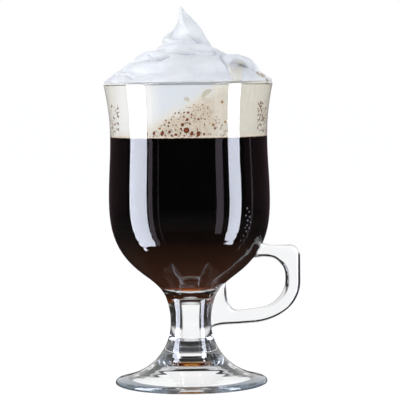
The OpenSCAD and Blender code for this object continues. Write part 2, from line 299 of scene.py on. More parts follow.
# %% Light on the soft pieces
FILL_LOW, FILL_HIGH = grey(0.10), (0.42, 0.45, 0.50, 1)
INSIDE_ABOVE, INSIDE_BELOW = (1.20, 1.20, 1.22, 1), (1.35, 1.35, 1.35, 1)
soft_fill = mix_colours(sky, between(sky, raised, 0, UP, 25), FILL_LOW, FILL_HIGH)
shown = mix_colours(sky, light_path.outputs["Is Glossy Ray"], soft_fill, mirrored)
shown = mix_colours(sky, light_path.outputs["Is Transmission Ray"], shown, seen_through)
scattered = sum_up(sky, "GREATER_THAN", light_path.outputs["Diffuse Depth"], 0.5)
inside_fill = mix_colours(sky, between(sky, raised, DOWN, -6, 6), INSIDE_ABOVE, INSIDE_BELOW)
through_wall = sum_up(sky, "MULTIPLY", scattered, light_path.outputs["Is Transmission Ray"])
shown = mix_colours(sky, scattered, shown, soft_fill)
shown = mix_colours(sky, through_wall, shown, inside_fill)
shown = mix_colours(sky, light_path.outputs["Is Camera Ray"], shown, grey(1.0))
background = sky.nodes.new("ShaderNodeBackground")
sky.links.new(shown, background.inputs[0])
world_out = sky.nodes.new("ShaderNodeOutputWorld")
sky.links.new(background.outputs[0], world_out.inputs[0])
print("world nodes", len(sky.nodes))

# %% [markdown]
# The floor is the same white paper. What the camera sees of it is white, with a soft shadow kept
# in it. The glass doesn't mirror or bend it: below the mug, too, it shows the room of the world.

# %% Floor
FLOOR_SIZE = 40.0
PAPER_WHITE = grey(0.8)
PAPER_GLOW = 0.90
PAPER_LIFT = 1.07
bpy.ops.object.select_all(action="DESELECT")
bpy.ops.mesh.primitive_plane_add(size=FLOOR_SIZE)
floor = bpy.context.object
floor.name = "floor"
floor.visible_glossy = False
floor.visible_transmission = False
floor_paper, tree, out = new_material("floor_paper")
matt = tree.nodes.new("ShaderNodeBsdfDiffuse")
matt.inputs[0].default_value = PAPER_WHITE
glow = tree.nodes.new("ShaderNodeEmission")
glow.inputs[0].default_value = grey(1.0)
glow.inputs[1].default_value = PAPER_LIFT
rays = tree.nodes.new("ShaderNodeLightPath")
glowing = sum_up(tree, "MULTIPLY", rays.outputs["Is Camera Ray"], PAPER_GLOW)
tree.links.new(mix_shaders(tree, glowing, matt.outputs[0], glow.outputs[0]), out.inputs[0])
floor.data.materials.append(floor_paper)
print("floor", FLOOR_SIZE, "m wide")

# %% [markdown]
# Three plain lamps give the cream its soft shadows: one at each side of the camera, where the two
# tall boxes are, and a weaker one above.

# %% Lamps
LIT_PLACE = Vector((0, 0, 0.11))


def soft_lamp(name, place, size, watts, colour):
    """A soft box that faces the mug. It is felt but not seen: the world holds its image."""
    data = bpy.data.lights.new(name, "AREA")
    data.shape = "RECTANGLE"
    data.size, data.size_y = size
    data.energy = watts
    data.color = colour
    lamp = bpy.data.objects.new(name, data)
    bpy.context.scene.collection.objects.link(lamp)
    lamp.location = place
    lamp.rotation_euler = (LIT_PLACE - Vector(place)).to_track_quat("-Z", "Y").to_euler()
    lamp.visible_glossy = lamp.visible_transmission = lamp.visible_camera = False
    print(name, watts, "W")


soft_lamp("left_box", (-0.95, -0.45, 0.40), (0.55, 1.0), 5.0, (1.0, 1.0, 1.0))
soft_lamp("right_box", (0.80, -0.72, 0.36), (0.35, 1.0), 4.4, (0.97, 0.98, 1.0))
soft_lamp("top_box", (-0.15, -0.25, 1.10), (0.7, 0.5), 1.4, (1.0, 1.0, 1.0))

# %% [markdown]
# The glass: it bends light by 1.5 and lets the lamps through to what stands inside, as thin clear
# glass nearly does. Where two gathers of glass are fused there is no surface left to see, so the
# faces of each joint get a finish that lets every ray pass.

# %% Glass materials
GLASS_IOR = 1.5
GLASS_TINT = (0.985, 0.992, 1.0, 1)
GLASS_SHADE = (0.96, 0.975, 0.985, 1)
clear_glass, tree, out = new_material("clear_glass")
shell = tree.nodes.new("ShaderNodeBsdfPrincipled")
shell.inputs["Base Color"].default_value = GLASS_TINT
shell.inputs["Roughness"].default_value = 0.0
shell.inputs["IOR"].default_value = GLASS_IOR
shell.inputs["Transmission Weight"].default_value = 1.0
passing = tree.nodes.new("ShaderNodeBsdfTransparent")
passing.inputs[0].default_value = GLASS_SHADE
rays = tree.nodes.new("ShaderNodeLightPath")
glass = mix_shaders(tree, rays.outputs["Is Shadow Ray"], shell.outputs[0], passing.outputs[0])
tree.links.new(glass, out.inputs[0])

fused_joint, tree, out = new_material("fused_joint")
passing = tree.nodes.new("ShaderNodeBsdfTransparent")
tree.links.new(passing.outputs[0], out.inputs[0])
print("glass bends light by", GLASS_IOR)

# %% [markdown]
# Bowl, stem and foot are turned shapes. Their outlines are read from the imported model, smoothed
# between its points, drawn as a line of edges and spun about the axis.

# %% Read a turned outline from the frame
FACING = 1e-3


def looks_out(radial, up, z):
    """True for a face that looks away from the axis."""
    return radial > FACING


def looks_in(radial, up, z):
    """True for a face that looks at the axis."""
    return radial < -FACING


def cad_outline(node, want):
    """The (radius, height) points of a turned node's faces for which want(radial, upward, height)
    is true, from the lowest to the highest."""
    mesh = cad[node].data
    found = {}
    for face in mesh.polygons:
        middle = Vector((face.center.x, face.center.y, 0))
        if middle.length < 1e-6:
            continue
        radial = face.normal.dot(middle.normalized())
        if not want(radial, face.normal.z, face.center.z):
            continue
        for v in face.vertices:
            p = mesh.vertices[v].co
            found[round(p.z, 5)] = (math.hypot(p.x, p.y), p.z)
    return [found[z] for z in sorted(found)]


def smoothed(points, between_points):
    """More points on a smooth curve through the given ones."""
    padded = [np.array(p) for p in [points[0], *points, points[-1]]]
    line = []
    for a, b, c, d in zip(padded, padded[1:], padded[2:], padded[3:]):
        for i in range(between_points):
            t = i / between_points
            line.append(0.5 * (2 * b + (c - a) * t + (2 * a - 5 * b + 4 * c - d) * t ** 2
                               + (3 * b - a - 3 * c + d) * t ** 3))
    line.append(padded[-1])
    return [(max(float(p[0]), 0.0), float(p[1])) for p in line]


# %% Draw and spin
SPIN_STEPS = 144
MERGE = 2e-6


def draw_line(name, points):
    """Draws edges through the points, one extrude after another, and stays in edit mode."""
    bpy.ops.object.select_all(action="DESELECT")
    bpy.ops.mesh.primitive_plane_add(size=1)
    line = bpy.context.object
    line.name = name
    bpy.ops.object.mode_set(mode="EDIT")
    bpy.ops.mesh.merge(type="CENTER")
    bpy.ops.transform.translate(value=points[0])
    for here, there in zip(points, points[1:]):
        step = Vector(there) - Vector(here)
        bpy.ops.mesh.extrude_region_move(TRANSFORM_OT_translate={"value": step})
    return line


def spun(name, outline, steps=SPIN_STEPS):
    """A turned solid: the outline of (radius, height) points starts and ends on the axis."""
    made = draw_line(name, [(r, 0.0, z) for r, z in outline])
    bpy.ops.mesh.select_all(action="SELECT")
    bpy.ops.mesh.spin(steps=steps, angle=math.tau, center=(0, 0, 0), axis=(0, 0, 1))
    bpy.ops.mesh.select_all(action="SELECT")
    bpy.ops.mesh.remove_doubles(threshold=MERGE)
    bpy.ops.mesh.normals_make_consistent(inside=False)
    bpy.ops.object.mode_set(mode="OBJECT")
    bpy.ops.object.shade_smooth_by_angle(angle=math.radians(40))
    print(name, len(made.data.polygons), "faces")
    return made


def clear_joint(piece, height):
    """Gives the flat joint faces at this height the finish that lets every ray pass."""
    if "fused_joint" not in piece.data.materials:
        piece.data.materials.append(fused_joint)
    slot = piece.data.materials.find("fused_joint")
    for face in piece.data.polygons:
        if abs(face.normal.z) > 0.99 and abs(face.center.z - height) < 1e-5:
            face.material_index = slot


# %% Bowl
bowl_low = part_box("bowl")[0].z
bowl_outer = smoothed(cad_outline("bowl", looks_out), 3)
bowl_inner = smoothed(cad_outline("bowl", looks_in), 3)
bowl_inner[0] = (0.0, bowl_inner[0][1])
bowl = spun("glass_bowl", [(0.0, bowl_low)] + bowl_outer + bowl_inner[::-1][1:])
bowl.data.materials.append(clear_glass)
clear_joint(bowl, bowl_low)
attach(bowl, "root")
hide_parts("bowl")

# %% Stem
stem_low, stem_high = (corner.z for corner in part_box("stem"))
stem_outer = smoothed(cad_outline("stem", looks_out), 3)
stem = spun("glass_stem", [(0.0, stem_low)] + stem_outer + [(0.0, stem_high)])
stem.data.materials.append(clear_glass)
clear_joint(stem, stem_low)
clear_joint(stem, stem_high)
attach(stem, "root")
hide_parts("stem")

# %% Foot
# Above EDGE_TOP, faces that look down belong to the hollow, whose roof is flat within ROOF_RADIUS
EDGE_TOP = 0.005
HOLLOW_FACING = 1e-4
ROOF_RADIUS = 0.0062
ROOF_RISE = 1e-5


def foot_outside(radial, up, z):
    """True for a face of the foot's side and rounded edge."""
    return radial > FACING and (up > 0 or z < EDGE_TOP)


def foot_hollow(radial, up, z):
    """True for a face of the hollow underneath."""
    return radial < -HOLLOW_FACING and up < 0


foot_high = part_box("foot")[1].z
foot_side = smoothed(cad_outline("foot", foot_outside), 3)
foot_under = smoothed(cad_outline("foot", foot_hollow), 3)
foot_under = [(r, z) for r, z in foot_under if r > ROOF_RADIUS]
foot_under.append((0.0, foot_under[-1][1] + ROOF_RISE))
foot_side, foot_under = ([(r, max(z, 0.0)) for r, z in line] for line in (foot_side, foot_under))
foot = spun("glass_foot", foot_under[::-1] + foot_side + [(0.0, foot_high)])
foot.data.materials.append(clear_glass)
clear_joint(foot, foot_high)
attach(foot, "root")
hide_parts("foot")

# %% [markdown]
# The handle is a flat loop. Its two outlines are drawn as smooth lines, the gap between them is
# bridged with faces, the sheet gets its thickness, and its long edges are rounded. Last, what
# would reach into the bowl and stem is cut away.

# %% Handle outlines
# Each station is (x, z, heading in degrees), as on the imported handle
HANDLE_THICK = 0.0084
HANDLE_EDGE = 0.0030
EDGE_STEPS = 8
OUTER_STATIONS = [
    (0.03360, 0.06908, -50), (0.03901, 0.06670, -4), (0.04784, 0.06670, 0), (0.05260, 0.06194, -90),
    (0.05260, 0.04954, -90), (0.03524, 0.03044, -166), (0.02350, 0.02918, -175), (0.00770, 0.02648, -150),
    (0.00570, 0.02593, -150)]
INNER_STATIONS = [
    (0.02651, 0.05991, 20), (0.03251, 0.06110, 3), (0.03720, 0.06110, -4), (0.04560, 0.05200, -90),
    (0.04560, 0.04954, -92), (0.03199, 0.03649, -175), (0.02285, 0.03558, 180), (0.01700, 0.04875, 90),
    (0.01300, 0.04975, 90)]
PULL_SHARE = 0.38
LEG_STEPS = 14


def route(stations):
    """Points on smooth curves through the stations."""
    line = []
    for (x0, z0, h0), (x1, z1, h1) in zip(stations, stations[1:]):
        start, end = Vector((x0, z0)), Vector((x1, z1))
        reach = PULL_SHARE * (end - start).length
        out_pull = start + reach * Vector((math.cos(math.radians(h0)), math.sin(math.radians(h0))))
        in_pull = end - reach * Vector((math.cos(math.radians(h1)), math.sin(math.radians(h1))))
        for i in range(LEG_STEPS):
            t = i / LEG_STEPS
            p = (start * (1 - t) ** 3 + out_pull * 3 * t * (1 - t) ** 2
                 + in_pull * 3 * t * t * (1 - t) + end * t ** 3)
            line.append((p.x, 0.0, p.y))
    line.append((stations[-1][0], 0.0, stations[-1][1]))
    return line


# %% Apply a modifier
def apply_modifier(piece, kind, **settings):
    """Adds a modifier with these settings and applies it."""
    bpy.ops.object.select_all(action="DESELECT")
    piece.select_set(True)
    bpy.context.view_layer.objects.active = piece
    added = piece.modifiers.new(kind.lower(), kind)
    for key, value in settings.items():
        setattr(added, key, value)
    bpy.ops.object.modifier_apply(modifier=added.name)


# %% Handle body
outer_points, inner_points = route(OUTER_STATIONS), route(INNER_STATIONS)
outer_line = draw_line("handle_outer", outer_points)
bpy.ops.object.mode_set(mode="OBJECT")
handle = draw_line("glass_handle", inner_points)
bpy.ops.object.mode_set(mode="OBJECT")
bpy.ops.object.select_all(action="DESELECT")
outer_line.select_set(True)
handle.select_set(True)
bpy.context.view_layer.objects.active = handle
bpy.ops.object.join()
bpy.ops.object.mode_set(mode="EDIT")
bpy.ops.mesh.select_all(action="SELECT")
bpy.ops.mesh.bridge_edge_loops()
bpy.ops.mesh.select_all(action="SELECT")
bpy.ops.mesh.normals_make_consistent(inside=False)
bpy.ops.object.mode_set(mode="OBJECT")
apply_modifier(handle, "SOLIDIFY", thickness=HANDLE_THICK, offset=0.0)
# The two ends are left open while the long edges are rounded, so that only those are
end_spots = [{(round(line[pick][0], 5), round(line[pick][2], 5)) for line in (outer_points, inner_points)}
             for pick in (0, -1)]
bpy.ops.object.mode_set(mode="EDIT")
bpy.ops.mesh.select_mode(type="FACE")
bpy.ops.mesh.select_all(action="DESELECT")
bpy.ops.object.mode_set(mode="OBJECT")
for face in handle.data.polygons:
    corners = [handle.data.vertices[i].co for i in face.vertices]
    face.select = {(round(c.x, 5), round(c.z, 5)) for c in corners} in end_spots
print("open ends", sum(face.select for face in handle.data.polygons))
bpy.ops.object.mode_set(mode="EDIT")
bpy.ops.mesh.delete(type="ONLY_FACE")
bpy.ops.mesh.select_mode(type="VERT")
bpy.ops.object.mode_set(mode="OBJECT")
apply_modifier(handle, "BEVEL", width=HANDLE_EDGE, segments=EDGE_STEPS, limit_method="ANGLE",
               angle_limit=math.radians(60))
bpy.ops.object.mode_set(mode="EDIT")
bpy.ops.mesh.select_all(action="SELECT")
bpy.ops.mesh.fill_holes(sides=0)
bpy.ops.mesh.select_all(action="SELECT")
bpy.ops.mesh.normals_make_consistent(inside=False)
bpy.ops.object.mode_set(mode="OBJECT")
handle.data.materials.append(clear_glass)
print("handle", len(handle.data.polygons), "faces")

# %% Trim the handle to the bowl and stem
SAME_POINT = 1e-5
SHORT_EDGE = 3e-5
body_core = spun("body_core", [(0.0, foot_high)] + stem_outer + bowl_outer[1:] + [(0.0, bowl_outer[-1][1])])
body_core.data.materials.append(fused_joint)
apply_modifier(handle, "BOOLEAN", operation="DIFFERENCE", object=body_core, solver="EXACT",
               material_mode="TRANSFER")
bpy.data.objects.remove(body_core)
bpy.ops.object.mode_set(mode="EDIT")
bpy.ops.mesh.select_all(action="SELECT")
bpy.ops.mesh.remove_doubles(threshold=SAME_POINT)
bpy.ops.mesh.dissolve_degenerate(threshold=SHORT_EDGE)
bpy.ops.object.mode_set(mode="OBJECT")
bpy.ops.object.select_all(action="DESELECT")
handle.select_set(True)
bpy.context.view_layer.objects.active = handle
bpy.ops.object.shade_smooth_by_angle(angle=math.radians(35))
print("handle materials", [m.name for m in handle.data.materials])
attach(handle, "root")
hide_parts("handle")

# %% [markdown]
# Coffee, froth and cream touch the glass all over, with no air between. So each of them reaches
# a hair into the wall: a ray that enters the glass meets the drink, and never an inner mirror.
# Coffee bends light less than glass does, so under a low angle its surface mirrors all of it. That
# gives the pale crescent under the coffee.

# %% Coffee
WET = 0.00016
COFFEE_IOR = 1.34
# From the bottom up, as (share of the coffee's height, colour)
# Black above; the brown and the bright orange band near the bottom are painted light shining through the
# thin coffee there
COFFEE_COLOURS_AND_PAINTED_GLOW = [
    (0.0, (0.30, 0.10, 0.02)), (0.003, (1.0, 0.50, 0.07)), (0.008, (0.90, 0.28, 0.03)),
    (0.016, (0.24, 0.050, 0.010)), (0.03, (0.062, 0.020, 0.009)), (0.10, (0.046, 0.017, 0.008)),
    (0.22, (0.026, 0.011, 0.006)), (0.34, (0.006, 0.0030, 0.0024)), (0.48, (0.0016, 0.0014, 0.0013))]
coffee_low, coffee_high = (corner.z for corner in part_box("coffee"))


def wetted(points):
    """The outline of a filling from its lowest point up, moved out into the glass by a hair."""
    line = [np.array(p) for p in points]
    moved = []
    for before, here, after in zip([line[0]] + line, line, line[1:] + [line[-1]]):
        along = (after - before) / max(np.linalg.norm(after - before), 1e-9)
        r, z = here + WET * np.array([along[1], -along[0]])
        moved.append((float(r) if here[0] > 0 else 0.0, float(z)))
    return moved


coffee_side = smoothed(cad_outline("coffee", looks_out), 3)
coffee_side[0] = (0.0, coffee_side[0][1])
coffee = spun("coffee_body", wetted(coffee_side) + [(0.0, coffee_high)])

black_coffee, tree, out = new_material("black_coffee")
liquid = tree.nodes.new("ShaderNodeBsdfPrincipled")
place = tree.nodes.new("ShaderNodeTexCoord")
apart = tree.nodes.new("ShaderNodeSeparateXYZ")
tree.links.new(place.outputs["Object"], apart.inputs[0])
depth = tree.nodes.new("ShaderNodeMapRange")
tree.links.new(apart.outputs[2], depth.inputs[0])
depth.inputs[1].default_value = coffee_low
depth.inputs[2].default_value = coffee_high
tree.links.new(ramp(tree, depth.outputs[0], COFFEE_COLOURS_AND_PAINTED_GLOW), liquid.inputs["Base Color"])
liquid.inputs["Roughness"].default_value = 0.5
liquid.inputs["Specular IOR Level"].default_value = 0.0
mirror = tree.nodes.new("ShaderNodeBsdfGlossy")
mirror.inputs["Roughness"].default_value = 0.0
slanting = tree.nodes.new("ShaderNodeFresnel")
slanting.inputs[0].default_value = COFFEE_IOR / GLASS_IOR
tree.links.new(mix_shaders(tree, slanting.outputs[0], liquid.outputs[0], mirror.outputs[0]), out.inputs[0])
coffee.data.materials.append(black_coffee)
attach(coffee, "root")
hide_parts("coffee")
print("coffee from", round(coffee_low, 4), "to", round(coffee_high, 4))

# %% Froth and the cream in the glass
froth_low, froth_high = (corner.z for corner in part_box("froth"))
layer_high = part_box("cream_layer")[1].z
froth_side = smoothed(cad_outline("froth", looks_out), 3)
froth = spun("froth_body", [(0.0, froth_low)] + wetted(froth_side) + [(0.0, froth_high)])
layer_side = smoothed(cad_outline("cream_layer", looks_out), 3)
layer = spun("cream_in_glass", [(0.0, froth_high)] + wetted(layer_side) + [(0.0, layer_high)])
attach(froth, "root")
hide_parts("froth")
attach(layer, "root")
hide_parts("cream_layer")
print("froth from", round(froth_low, 4), "and cream up to", round(layer_high, 4))

# %% [markdown]
# Behind the glass the white cream ends in a slanted line, and below it the froth is beige. The
# line runs through froth and cream alike, so both take their colour from one function of the place.

# %% Colours behind the glass
# The lighter colours for the left of cream and froth and for the right of the froth are painted light from
# the sides
CREAM_WHITE = (0.76, 0.79, 0.83, 1)
CREAM_PAINTED_LIGHT_LEFT = (0.90, 0.89, 0.87, 1)
FROTH_WARM = (0.65, 0.555, 0.44, 1)
FROTH_PAINTED_LIGHT_RIGHT = (0.73, 0.70, 0.61, 1)
FROTH_GLOW = (0.82, 0.79, 0.71, 1)
FROTH_MOTTLED = (0.80, 0.77, 0.69, 1)
FROTH_PAINTED_LIGHT_LEFT = (0.80, 0.77, 0.70, 1)
PORE = (0.42, 0.25, 0.15, 1)
EDGE_PALE = (0.85, 0.76, 0.62, 1)
STAIN = (0.60, 0.56, 0.45, 1)
LINE_HEIGHT = 0.1372
LINE_SLOPE = 0.59
# (across, height, half length, half width, lean) of the two stains
LEAVES = ((0.0081, 0.1402, 0.0032, 0.0013, 38), (-0.0006, 0.1374, 0.0016, 0.0010, -25))


def noise_at(tree, place, scale, detail=2.0, stretch=None):
    """Soft noise from 0 to 1 on a place in metres."""
    step = tree.nodes.new("ShaderNodeTexNoise")
    step.inputs["Scale"].default_value = scale
    step.inputs["Detail"].default_value = detail
    if stretch is not None:
        mapping = tree.nodes.new("ShaderNodeMapping")
        mapping.inputs["Scale"].default_value = stretch
        tree.links.new(place, mapping.inputs[0])
        place = mapping.outputs[0]
    tree.links.new(place, step.inputs["Vector"])
    return step.outputs[0]


def fade(tree, value, low, high):
    """0 below low, 1 above high, and a smooth rise between them."""
    step = tree.nodes.new("ShaderNodeMapRange")
    step.interpolation_type = "SMOOTHSTEP"
    feed(tree, step.inputs[0], value)
    step.inputs[1].default_value = low
    step.inputs[2].default_value = high
    return step.outputs[0]


def patch(tree, x, z, across, up, wide, high, lean):
    """A leaf-shaped patch on the front, from 0 outside to 1 inside."""
    cos, sin = math.cos(math.radians(lean)), math.sin(math.radians(lean))
    dx = sum_up(tree, "SUBTRACT", x, across)
    dz = sum_up(tree, "SUBTRACT", z, up)
    along = sum_up(tree, "MULTIPLY_ADD", dx, cos / wide, sum_up(tree, "MULTIPLY", dz, sin / wide))
    beside = sum_up(tree, "MULTIPLY_ADD", dx, -sin / high, sum_up(tree, "MULTIPLY", dz, cos / high))
    bent = sum_up(tree, "MULTIPLY_ADD", sum_up(tree, "MULTIPLY", along, along), 0.5, beside)
    far = sum_up(tree, "ADD", sum_up(tree, "MULTIPLY", along, along), sum_up(tree, "MULTIPLY", bent, bent))
    return fade(tree, far, 1.0, 0.6)


def cream_and_froth(name):
    """The finish of what lies behind the glass above the coffee."""
    made, tree, out = new_material(name)
    foam = tree.nodes.new("ShaderNodeBsdfPrincipled")
    place = tree.nodes.new("ShaderNodeTexCoord").outputs["Object"]
    apart = tree.nodes.new("ShaderNodeSeparateXYZ")
    tree.links.new(place, apart.inputs[0])
    x, y, z = apart.outputs
    wave = sum_up(tree, "MULTIPLY_ADD", noise_at(tree, place, 180, 3), 0.008, -0.004)
    line = sum_up(tree, "MULTIPLY_ADD", x, LINE_SLOPE, LINE_HEIGHT)
    below = sum_up(tree, "ADD", sum_up(tree, "SUBTRACT", line, z), wave)
    beige = fade(tree, below, -0.0030, 0.0050)
    # Paler towards the right: painted light from the right side
    to_side = fade(tree, x, 0.006, 0.020)
    warm = mix_colours(tree, to_side, FROTH_WARM, FROTH_PAINTED_LIGHT_RIGHT)
    mottled = fade(tree, noise_at(tree, place, 420, 4, (1, 1, 0.45)), 0.35, 0.7)
    warm = mix_colours(tree, sum_up(tree, "MULTIPLY", mottled, 0.55), warm, FROTH_MOTTLED)
    # Lighter at the left, in froth and cream alike: painted light from the left side
    left_side = fade(tree, x, -0.011, -0.019)
    warm = mix_colours(tree, left_side, warm, FROTH_PAINTED_LIGHT_LEFT)
    beige = sum_up(tree, "MAXIMUM", beige, sum_up(tree, "MULTIPLY", fade(tree, x, -0.030, -0.035), 0.6))
    beige = sum_up(tree, "MAXIMUM", beige, sum_up(tree, "MULTIPLY", left_side, fade(
        tree, sum_up(tree, "ADD", z, wave), 0.1235, 0.1185)))
    white = mix_colours(tree, left_side, CREAM_WHITE, CREAM_PAINTED_LIGHT_LEFT)
    warm = mix_colours(tree, fade(tree, below, 0.0010, 0.0085), FROTH_GLOW, warm)
    colour = mix_colours(tree, beige, white, warm)
    for leaf in LEAVES:
        colour = mix_colours(tree, sum_up(tree, "MULTIPLY", patch(tree, x, z, *leaf), 0.85), colour, STAIN)
    specks = tree.nodes.new("ShaderNodeTexVoronoi")
    specks.inputs["Scale"].default_value = 1500
    tree.links.new(place, specks.inputs["Vector"])
    pores = sum_up(tree, "MULTIPLY", fade(tree, specks.outputs["Distance"], 0.34, 0.18),
                   sum_up(tree, "MULTIPLY", beige, 0.35))
    colour = mix_colours(tree, pores, colour, PORE)
    colour = mix_colours(tree, fade(tree, z, froth_low + 0.0011, froth_low + 0.0004), colour, EDGE_PALE)
    tree.links.new(colour, foam.inputs["Base Color"])
    foam.inputs["Roughness"].default_value = 0.7
    foam.inputs["Specular IOR Level"].default_value = 0.0
    tree.links.new(foam.outputs[0], out.inputs[0])
    return made


froth.data.materials.append(cream_and_froth("froth_foam"))
layer.data.materials.append(cream_and_froth("cream_behind_glass"))
print("finishes", froth.data.materials[0].name, layer.data.materials[0].name)

# %% [markdown]
# Bubbles lie flat between the drink and the glass. One round bubble is modelled, flattened, and
# copied: the large ones to listed places, hundreds of tiny ones at random within a cloud.
# Each copy carries how far it is from its middle, so that its rim can have another colour.

# %% Bubble finish
def bubble_finish(name, middle, rim):
    """A soft matt finish with one colour in the middle and another at the rim."""
    made, tree, out = new_material(name)
    film = tree.nodes.new("ShaderNodeBsdfPrincipled")
    edge = tree.nodes.new("ShaderNodeAttribute")
    edge.attribute_name = "edge"
    stops = [(0.0, middle), (0.45, middle), (0.8, rim), (1.0, rim)]
    tree.links.new(ramp(tree, edge.outputs["Fac"], stops), film.inputs["Base Color"])
    film.inputs["Roughness"].default_value = 0.5
    film.inputs["Specular IOR Level"].default_value = 0.0
    tree.links.new(film.outputs[0], out.inputs[0])
    return made


BUBBLE_BROWN = bubble_finish("bubble_brown", (0.26, 0.075, 0.035), (0.075, 0.014, 0.007))
BUBBLE_AMBER = bubble_finish("bubble_amber", (0.42, 0.20, 0.05), (0.30, 0.16, 0.07))
BUBBLE_PALE = bubble_finish("bubble_pale", (0.80, 0.72, 0.58), (0.62, 0.50, 0.36))
# Dark air with a pale bluish rim: the rim is a painted glint
BUBBLE_AIR_PAINTED_GLINT = bubble_finish("bubble_air_painted_glint", (0.02, 0.015, 0.02), (0.50, 0.51, 0.58))
BUBBLE_SPECK = bubble_finish("bubble_speck", (0.26, 0.15, 0.08), (0.18, 0.09, 0.05))


# %% Bubble shapes
def bubble_shape(name, segments, rings):
    """A ball of radius 1 whose axis is its flat direction, with its distance from that axis."""
    bpy.ops.object.select_all(action="DESELECT")
    bpy.ops.mesh.primitive_uv_sphere_add(segments=segments, ring_count=rings, radius=1.0)
    ball = bpy.context.object
    ball.name = name
    edge = ball.data.attributes.new("edge", "FLOAT", "POINT")
    for v, value in zip(ball.data.vertices, edge.data):
        value.value = min(math.hypot(v.co.x, v.co.y), 1.0)
    bpy.ops.object.shade_smooth()
    return ball


large_bubble = bubble_shape("large_bubble", 20, 10)
small_bubble = bubble_shape("small_bubble", 8, 4)
drink_points = sorted(wetted(coffee_side) + wetted(froth_side), key=lambda p: p[1])
wall_points = sorted(bowl_outer, key=lambda p: p[1])


def radius_at(points, z):
    """The radius of an outline at a height."""
    return float(np.interp(z, [p[1] for p in points], [p[0] for p in points]))


def turned_to(across, z):
    """The direction, from the front, of a bubble that is seen at this place across through the wall."""
    wall, inside = radius_at(wall_points, z), radius_at(drink_points, z)
    share = max(-0.985, min(0.985, across / wall))
    bent = share / GLASS_IOR
    return math.asin(share) - math.asin(bent) + math.asin(max(-1, min(1, bent * wall / inside)))


def lay_bubble(shape, finish, direction, z, wide, tall, lean=0.0, depth=0.10):
    """A copy of the shape against the glass, at a direction from the front, turned by lean degrees."""
    copy = bpy.data.objects.new("bubble", shape.data.copy())
    bpy.context.scene.collection.objects.link(copy)
    copy.data.materials.append(finish)
    inside = radius_at(drink_points, z)
    copy.data.transform(
        Matrix.Rotation(direction, 4, "Z") @ Matrix.Translation((0, -inside, z))
        @ Matrix.Rotation(math.pi / 2, 4, "X") @ Matrix.Rotation(math.radians(-lean), 4, "Z")
        @ Matrix.Diagonal((wide / 2, tall / 2, depth * MM, 1)))
    return copy


# %% Large bubbles
# (across, height, width, tall, lean) in millimetres and degrees, as seen from the front
BROWN_BUBBLES = [
    (-1.0, 122.9, 2.6, 2.8, 10), (4.5, 121.2, 1.7, 2.4, 0), (1.5, 121.5, 1.4, 2.1, 12),
    (-12.2, 121.6, 1.5, 2.5, 18), (-2.8, 125.5, 1.5, 1.7, 0), (-0.5, 128.0, 1.1, 1.4, -15),
    (-5.9, 120.9, 1.4, 1.2, 0), (-8.8, 122.2, 1.3, 1.5, 0), (7.1, 121.0, 1.0, 1.3, 0),
    (0.5, 126.0, 0.95, 0.95, 0), (4.6, 128.0, 1.1, 1.1, 0), (-0.1, 131.1, 1.0, 1.0, 0),
    (1.5, 130.2, 0.85, 0.95, 0), (-9.0, 126.5, 0.9, 1.0, 10), (-16.0, 121.6, 1.2, 2.0, 24),
    (-19.3, 121.2, 0.9, 1.5, 10), (-3.5, 123.6, 1.0, 1.1, 0), (-1.9, 131.2, 0.8, 0.8, 0),
    (-4.4, 131.1, 0.7, 0.8, 0), (-6.1, 130.9, 0.5, 1.1, 15), (2.9, 128.3, 0.7, 0.7, 0),
    (-2.2, 129.4, 0.9, 0.5, 0), (-9.3, 124.9, 0.8, 0.9, 0), (-3.8, 121.3, 0.7, 0.8, 0),
    (-2.0, 120.4, 0.9, 0.8, 0), (-7.6, 120.5, 0.8, 0.8, 0), (12.2, 123.6, 0.9, 1.1, 0),
    (1.3, 128.8, 0.6, 0.6, 0)]
AMBER_BUBBLES = [
    (-13.3, 123.8, 1.3, 1.0, 0), (11.4, 125.3, 1.2, 1.4, 0), (17.0, 126.6, 1.0, 1.2, 0),
    (15.6, 136.2, 1.3, 2.1, 0), (-10.5, 127.6, 0.9, 0.9, 0), (5.9, 128.3, 0.7, 0.9, 0),
    (7.6, 128.0, 0.8, 0.8, 0), (6.6, 134.6, 0.8, 0.8, 0), (2.6, 134.7, 0.8, 0.5, 0),
    (9.0, 133.6, 0.7, 0.7, 0), (17.0, 122.2, 0.7, 0.7, 0)]

# Air caught between the coffee and the glass at the right, each with a painted glint as its pale rim
AIR_BUBBLES = [
    (26.9, 86.0, 0.8, 0.9, 0), (27.8, 84.3, 0.6, 0.8, 20), (26.3, 82.7, 0.9, 0.7, 0),
    (28.1, 82.0, 0.6, 1.0, -20), (27.1, 80.4, 1.0, 0.8, 0), (28.4, 79.5, 0.6, 0.6, 0),
    (26.8, 78.3, 0.7, 0.9, 15), (25.9, 77.1, 0.6, 0.6, 0), (27.8, 76.9, 0.5, 0.8, 0),
    (26.5, 75.5, 0.7, 0.5, 30), (25.1, 73.5, 0.5, 0.5, 0), (23.8, 71.5, 0.5, 0.5, 0)]

LARGE_DEPTH = 0.13
finished = ((BUBBLE_BROWN, BROWN_BUBBLES), (BUBBLE_AMBER, AMBER_BUBBLES), (BUBBLE_AIR_PAINTED_GLINT, AIR_BUBBLES))
bubbles = [lay_bubble(large_bubble, finish, turned_to(across * MM, z * MM), z * MM, wide * MM, tall * MM,
                      lean, LARGE_DEPTH)
           for finish, listed in finished for across, z, wide, tall, lean in listed]
print(len(bubbles), "large bubbles")

# %% Tiny bubbles
draw = random.Random(7)
CLOUD_TOP, CLOUD_BASE = 134.0, 119.9
TINY_IN_CLOUD, TINY_AROUND, TINY_SPECKS, TINY_EDGE = 190, 260, 170, 420
SPECK_HEIGHTS = (121.5, 136.0)
SPECK_ACROSS = (32.4, 37.2)
AROUND_FROM, AROUND_TO = 1.3, 5.0
AROUND_HIGH = 9.0

